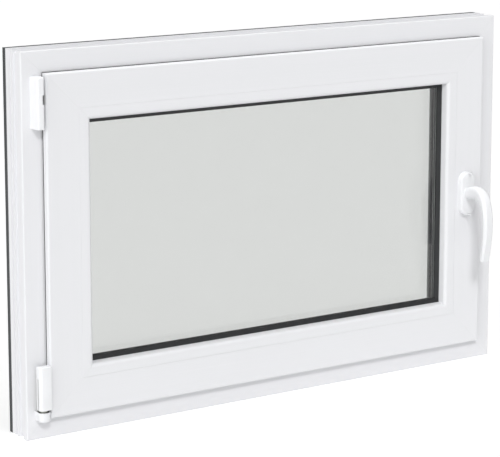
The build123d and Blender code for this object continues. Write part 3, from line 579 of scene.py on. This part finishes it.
# %% The grip's stations
# Distance out from the sash, rise above the axis, lean from straight out (0) to straight down (90), width
# across, thickness, and the radius of its corners, in millimetres and degrees.
stations = (
    (10.2, 0.6, 0, 17.8, 18.6, 8.2),
    (18.0, 2.6, -4, 17.6, 21.6, 8.0),
    (30.0, 4.8, 2, 17.8, 22.0, 7.6),
    (42.0, 3.8, 22, 18.4, 20.0, 6.6),
    (53.0, -5.0, 50, 19.2, 15.6, 5.4),
    (60.4, -21.0, 75, 20.0, 12.2, 4.8),
    (63.4, -42.0, 87, 20.0, 10.6, 4.4),
    (62.8, -66.0, 94, 19.4, 9.8, 4.2),
    (60.0, -88.0, 99, 18.6, 9.2, 3.2),
    (56.4, -108.8, 103, 17.8, 8.6, 2.6),
)
rings_between = 4


def on_curve(before, start, end, after, share):
    """A smooth (Catmull-Rom) step from start to end, led by its neighbours."""
    slope_in = (end - before) / 2
    slope_out = (after - start) / 2
    rise = end - start
    return (
        start
        + slope_in * share
        + (3 * rise - 2 * slope_in - slope_out) * share**2
        + (slope_in + slope_out - 2 * rise) * share**3
    )


rings = []
for place in range(len(stations) - 1):
    near = [stations[max(0, min(len(stations) - 1, place + step))] for step in (-1, 0, 1, 2)]
    for step in range(rings_between):
        rings.append([on_curve(*values, step / rings_between) for values in zip(*near)])
rings.append(stations[-1])
print("rings:", len(rings))

# %% Rings of the grip
select_none()
bpy.ops.mesh.primitive_plane_add(size=1)
lever = bpy.context.object
take_up(lever)
bpy.ops.mesh.select_all(action="SELECT")
bpy.ops.mesh.delete(type="VERT")
centre = (0, 0, 0)
for out, rise, lean, across, thick, corner in rings:
    # The neck is round, and lower down the corners become flat bevels with a crease at each side.
    softness = 0.5 if thick > 14 else 0.34
    bpy.ops.mesh.select_all(action="DESELECT")
    bpy.ops.mesh.primitive_plane_add(size=1)
    bpy.ops.transform.resize(value=(across * MM, thick * MM, 1), center_override=centre)
    bpy.ops.mesh.bevel(affect="VERTICES", offset=corner * MM, segments=4, profile=softness)
    # With no window this operator turns the other way, so the angle is negative.
    bpy.ops.transform.rotate(value=-math.radians(90 + lean), orient_axis="X", center_override=centre)
    bpy.ops.transform.translate(value=(handle_x, sash_face_y - out * MM, handle_z + rise * MM))
    bpy.ops.mesh.delete(type="ONLY_FACE")
bpy.ops.mesh.select_mode(type="EDGE")
bpy.ops.mesh.select_all(action="SELECT")
bpy.ops.mesh.bridge_edge_loops()
bpy.ops.mesh.select_all(action="SELECT")
bpy.ops.mesh.fill_holes(sides=0)

# %% Soft end of the grip
tip_z = handle_z + stations[-1][1] * MM
soften(lever, "faces", lambda face: len(face.verts) > 4 and middle(face).z < tip_z + 5 * MM, 0.9 * MM, 3)
bpy.ops.mesh.select_all(action="SELECT")
bpy.ops.mesh.remove_doubles(threshold=0.01 * MM)
bpy.ops.mesh.normals_make_consistent(inside=False)
put_away(lever, "handle_grip", handle_paint, "handle", ["handle_lever"], smooth_to=26)

# %% [markdown]
# The backplate is a pressed oval cover. A cube with its four short edges rounded right over becomes the
# oval, its front rim gets a soft radius, and a raised collar in the middle carries the neck.

# %% Backplate
rosette = box_piece(rosette_low, rosette_high)
end_radius = (rosette_high.x - rosette_low.x) / 2
plate_wall = 1.4 * MM
plate_front = 2.2 * MM
soften(rosette, "edges", lambda edge: along(edge, "y"), end_radius * 0.995, 14)
soften(rosette, "faces", lambda face: face.normal.y < -0.9, 3.6 * MM, 5)
inwards = -(rosette_high.y - rosette_low.y) + plate_front
hollow_out(rosette, lambda face: face.normal.y > 0.9, plate_wall, (0, inwards, 0))
put_away(rosette, "handle_backplate", handle_paint, "sash", ["handle_rosette"])

# %% Collar
select_none()
bpy.ops.mesh.primitive_cylinder_add(
    vertices=48,
    radius=11.2 * MM,
    depth=1.6 * MM,
    location=(handle_x, rosette_front - 0.3 * MM, handle_z),
    rotation=(math.pi / 2, 0, 0),
)
collar = bpy.context.object
bpy.ops.object.transform_apply(location=True, rotation=True, scale=True)
take_up(collar)
pick(collar, "faces", lambda face: face.normal.y < -0.9)
bpy.ops.mesh.inset(thickness=1.4 * MM)
bpy.ops.transform.translate(value=(0, -0.4 * MM, 0))
rim_y = rosette_front - 0.9 * MM
soften(collar, "edges", lambda edge: not along(edge, "y", 0.5) and middle(edge).y < rim_y, 0.35 * MM, 2)
put_away(collar, "handle_collar", handle_paint, "sash")

# %% [markdown]
# ## Hinge covers
#
# Each hinge hides under a clip-on cover moulded from white plastic. The upper one belongs to the frame:
# its sides lean in towards the front, the left one more than the right, and its top edges are bevelled.
# The lower one stands on the sash and is rounded round the hinge's barrel. Below it a short cup hides the
# corner bearing. All three are shells, so each starts as a solid, gets its soft edges, and is then
# hollowed from the side that nobody sees.

# %% Upper hinge cover
cover_low, cover_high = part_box("top_hinge_cover")
left_lean = 3.4 * MM
right_lean = 1.2 * MM
cover_front = 2.6 * MM
cover_wall = 1.2 * MM
upper_cover = box_piece(cover_low, cover_high)
pick(upper_cover, "verts", lambda corner: corner.co.x < cover_low.x + MM and corner.co.y < cover_low.y + MM)
bpy.ops.transform.translate(value=(left_lean, 0, 0))
pick(upper_cover, "verts", lambda corner: corner.co.x > cover_high.x - MM and corner.co.y < cover_low.y + MM)
bpy.ops.transform.translate(value=(-right_lean, 0, 0))
soften(
    upper_cover,
    "edges",
    lambda edge: along(edge, "z", 0.9) and middle(edge).y < cover_low.y + MM,
    2.4 * MM,
    5,
)
soften(upper_cover, "faces", lambda face: face.normal.z > 0.9, 1.5 * MM, 3)
inwards = -(cover_high.y - cover_low.y) + cover_front
hollow_out(upper_cover, lambda face: face.normal.y > 0.9, cover_wall, (0, inwards, 0))
# The hollow narrows towards the front as the sides do.
bpy.ops.transform.resize(value=(0.62, 1, 1))

# %% Its notch for the stay arm
# A block is taken out where the arm's plate swings past.
plate_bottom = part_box("stay_arm")[0].z
cut_away(
    upper_cover,
    Vector((cover_low.x + 11.1 * MM, cover_low.y - MM, plate_bottom - 0.8 * MM)),
    Vector((cover_high.x + MM, cover_high.y + MM, plate_bottom + 13.8 * MM)),
)
put_away(upper_cover, "upper_hinge_cover", cover_plastic, "frame", ["top_hinge_cover"], 40)

# %% Lower hinge cover
cover_low, cover_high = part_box("sash_hinge_cover")
cover_height = cover_high.z - cover_low.z
cover_top = 3.2 * MM
cover_wall = 1.3 * MM


def front_corner(edge):
    """True for the upright edges at the front."""
    return along(edge, "z") and middle(edge).y < cover_low.y + MM


lower_cover = box_piece(cover_low, cover_high)
left_x = cover_low.x + MM
right_x = cover_high.x - MM
soften(lower_cover, "edges", lambda edge: front_corner(edge) and middle(edge).x < left_x, 5.6 * MM, 8)
soften(lower_cover, "edges", lambda edge: front_corner(edge) and middle(edge).x > right_x, 1.8 * MM, 4)
soften(lower_cover, "faces", lambda face: face.normal.z > 0.9, 1.6 * MM, 4)
hollow_out(lower_cover, lambda face: face.normal.z < -0.9, cover_wall, (0, 0, cover_height - cover_top))

# %% Its side slot
slot_low = Vector((cover_low.x - MM, cover_high.y - 6.4 * MM, cover_low.z - MM))
slot_high = Vector((cover_low.x + 4 * MM, cover_high.y - 3.0 * MM, cover_low.z + cover_height * 0.72))
cut_away(lower_cover, slot_low, slot_high)
put_away(lower_cover, "lower_hinge_cover", cover_plastic, "sash", ["sash_hinge_cover"], 40)

# %% Leaf edge behind the slot
# The edge of the steel leaf shows through the slot as a thin dull line.
leaf_edge = box_piece(
    Vector((cover_low.x + 1.5 * MM, slot_low.y - 0.4 * MM, cover_low.z + 0.5 * MM)),
    Vector((cover_low.x + 3.1 * MM, slot_high.y + 0.4 * MM, slot_high.z + 2.0 * MM)),
)
soften(leaf_edge, "edges", lambda edge: along(edge, "z"), 0.3 * MM, 2)
put_away(leaf_edge, "hinge_leaf_edge", passivated, "sash")

# %% Corner bearing cup
cup_low, cup_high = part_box("corner_bearing_cover")
cup_wall = 1.1 * MM
cup_bottom = 1.2 * MM
cup = box_piece(cup_low, cup_high)
soften(cup, "edges", lambda edge: along(edge, "z") and middle(edge).y < cup_low.y + MM, 8.8 * MM, 10)
soften(cup, "faces", lambda face: face.normal.z < -0.9, 1.8 * MM, 2)
downwards = -(cup_high.z - cup_low.z) + cup_bottom
hollow_out(cup, lambda face: face.normal.z > 0.9, cup_wall, (0, 0, downwards))
put_away(cup, "corner_bearing_cup", cover_plastic, "frame", ["corner_bearing_cover"], 40)

# %% [markdown]
# ## Room-side seal
#
# A black rubber seal runs round the back of the sash's lip and shows as a dark line between the sash and
# the frame. It starts as a flat box that fills the gap. Both broad faces are inset and their middles taken
# away, and the two openings are bridged. At the sides, the edge against the frame is drawn in, because the
# seal tapers to a lip there, and at the bottom it is lifted clear of the frame. Two gaps let the stay arm
# and the hinge leaf pass.

# %% Seal behind the lip
lip_low, lip_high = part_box("sash_hinge_stile")
seal_low, seal_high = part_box("sash_gasket")
peeks_out = 0.5 * MM
seal_width = 5 * MM
passing_room = 1.5 * MM
outer = -lip_low.x + peeks_out
seal_low = Vector((-outer, seal_low.y, seal_low.z))
seal_high = Vector((outer, seal_high.y, lip_high.z + peeks_out))
seal = box_piece(seal_low, seal_high)
pick(seal, "faces", lambda face: abs(face.normal.y) > 0.9)
bpy.ops.mesh.inset(thickness=seal_width)
bpy.ops.mesh.bridge_edge_loops()
pick(seal, "verts", lambda corner: corner.co.y > seal_high.y - 0.1 * MM and abs(corner.co.x) > outer - MM)
taper = 1 - 1.4 * MM / outer
bpy.ops.transform.resize(value=(taper, 1, 1), center_override=(0, 0, window_height / 2))
pick(seal, "verts", lambda corner: corner.co.y > seal_high.y - 0.1 * MM and corner.co.z < seal_low.z + MM)
bpy.ops.transform.translate(value=(0, 0, 1.5 * MM))
for passing in ("stay_arm", "sash_hinge_leaf"):
    passing_low, passing_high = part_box(passing)
    cut_away(
        seal,
        Vector((seal_low.x - MM, seal_low.y - MM, passing_low.z - passing_room)),
        Vector((seal_low.x + 7 * MM, seal_high.y + MM, passing_high.z + passing_room)),
    )
put_away(seal, "room_side_seal", rubber, "sash", ["sash_gasket"], 30)

# %% [markdown]
# ## Drain caps
#
# On the street side two small hoods cover the slots that let rain out of the frame. A hood is a low box
# with softened edges whose underside is open, so that water can leave and wind can't blow in.


# %% Separate solids of a CAD node
def corner_box(corners):
    """The lowest and highest corner of some points."""
    return (Vector(map(min, *corners)), Vector(map(max, *corners)))


def solids(name):
    """The points of every separate solid in a CAD node, from left to right."""
    mesh = bmesh.new()
    mesh.from_mesh(nodes[name].data)
    bmesh.ops.remove_doubles(mesh, verts=mesh.verts, dist=0.001 * MM)
    left = set(mesh.verts)
    found = []
    while left:
        reached = [left.pop()]
        corners = []
        while reached:
            corner = reached.pop()
            corners.append(corner.co.copy())
            for other in [edge.other_vert(corner) for edge in corner.link_edges]:
                if other in left:
                    left.remove(other)
                    reached.append(other)
        found.append(corners)
    mesh.free()
    return sorted(found, key=lambda corners: tuple(round(part, 4) for part in corner_box(corners)[0]))


# %% Drain caps
hood_wall = 0.8 * MM
for number, corners in enumerate(solids("drain_caps"), 1):
    low, high = corner_box(corners)
    hood = box_piece(low, high)
    soften(hood, "faces", lambda face: face.normal.y > 0.9, 1.2 * MM, 3)
    soften(
        hood,
        "edges",
        lambda edge: along(edge, "y") and abs(middle(edge).z - high.z) < 0.2 * MM,
        1.6 * MM,
        3,
    )
    hollow_out(hood, lambda face: face.normal.z < -0.9, hood_wall, (0, 0, (high.z - low.z) * 0.7))
    put_away(hood, f"drain_cap_{number}", dark_film, "frame", ["drain_caps"])

# %% [markdown]
# ## Screws
#
# A screw is a pan head with a cross recess and a threaded shank. One is modelled standing up, and copies
# of its mesh are turned and placed where the CAD's plain screws are, head outwards.

# %% One screw
select_none()
bpy.ops.mesh.primitive_cylinder_add(vertices=24, radius=1, depth=1, location=(0, 0, -0.5))
screw_head = bpy.context.object
bpy.ops.object.transform_apply(location=True, rotation=True, scale=True)
take_up(screw_head)
soften(screw_head, "faces", lambda face: face.normal.z > 0.9, 0.32, 4)
pick(screw_head, "faces", lambda face: face.normal.z > 0.99 and len(face.verts) > 20)
bpy.ops.mesh.inset(thickness=0.12)
pick(
    screw_head,
    "verts",
    lambda corner: 0.4 < corner.co.xy.length < 0.62
    and abs(corner.co.z) < 0.001
    and min(abs(corner.co.x), abs(corner.co.y)) > 0.2,
)
bpy.ops.transform.resize(value=(0.42, 0.42, 1), center_override=(0, 0, 0))
pick(screw_head, "faces", lambda face: face.normal.z > 0.99 and len(face.verts) > 20)
bpy.ops.mesh.extrude_region_move(TRANSFORM_OT_translate={"value": (0, 0, -0.45)})
bpy.ops.transform.resize(value=(0.8, 0.8, 1), center_override=(0, 0, -0.45))
bpy.ops.object.mode_set(mode="OBJECT")
bpy.ops.object.shade_smooth_by_angle(angle=math.radians(35))
print("screw head:", len(screw_head.data.polygons), "faces")

# %% One threaded shank
# It is drawn as rings that step in and out, which is what a thread looks like from the side.
select_none()
bpy.ops.mesh.primitive_circle_add(vertices=12, radius=1, fill_type="NGON")
shank = bpy.context.object
take_up(shank)
bpy.ops.mesh.select_mode(type="FACE")
bpy.ops.mesh.select_all(action="SELECT")
thread_steps = 20
for step in range(thread_steps):
    bpy.ops.mesh.extrude_region_move(TRANSFORM_OT_translate={"value": (0, 0, -1 / thread_steps)})
    squeeze = 0.8 if step % 2 == 0 else 1.25
    if step > thread_steps - 4:
        squeeze *= 0.8
    bpy.ops.transform.resize(value=(squeeze, squeeze, 1), center_override=(0, 0, 0))
bpy.ops.mesh.select_all(action="SELECT")
bpy.ops.mesh.normals_make_consistent(inside=False)
bpy.ops.object.mode_set(mode="OBJECT")
print("shank:", len(shank.data.polygons), "faces")


# %% Screws in place
def seat(template, name, origin, outward, width, length):
    """A copy of a template, scaled across and along, standing at origin with its top facing outward."""
    copy = bpy.data.objects.new(name, template.data.copy())
    bpy.context.collection.objects.link(copy)
    copy.rotation_mode = "QUATERNION"
    copy.rotation_quaternion = outward.to_track_quat("Z", "Y")
    copy.location = origin
    copy.scale = (width, width, length)
    return copy


shank_radius = 1.55 * MM
bodies_of_screws = {
    "faceplate_screws": "sash",
    "handle_screws": "sash",
    "sash_hinge_screws": "sash",
    "striker_screws": "frame",
    "top_hinge_screws": "frame",
    "corner_bearing_screws": "frame",
}
for node_name, body in bodies_of_screws.items():
    copies = []
    for corners in solids(node_name):
        low, high = corner_box(corners)
        size = high - low
        axis = max(range(3), key=lambda number: size[number])
        centre = (low + high) / 2
        across = [number for number in range(3) if number != axis]
        radius = max(size[number] for number in across) / 2
        wide = [
            corner[axis]
            for corner in corners
            if math.hypot(*(corner[number] - centre[number] for number in across)) > 0.9 * radius
        ]
        head_up = abs(max(wide) - high[axis]) < abs(min(wide) - low[axis])
        outward = Vector([float(number == axis) * (1 if head_up else -1) for number in range(3)])
        top = centre + outward * size[axis] / 2
        head_height = max(wide) - min(wide)
        copies.append(seat(screw_head, "head", top, outward, radius, head_height))
        below = top - outward * head_height * 0.9
        shank_length = size[axis] - head_height * 0.9
        copies.append(seat(shank, "shank", below, outward, shank_radius, shank_length))
    select_none()
    for copy in copies:
        copy.select_set(True)
    bpy.context.view_layer.objects.active = copies[0]
    bpy.ops.object.join()
    put_away(bpy.context.object, f"cross_{node_name}", passivated, body, [node_name])
for template in (screw_head, shank):
    bpy.data.objects.remove(template)

import json

low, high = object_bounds()
print("visual size:", [round(b - a, 4) for a, b in zip(low, high)])
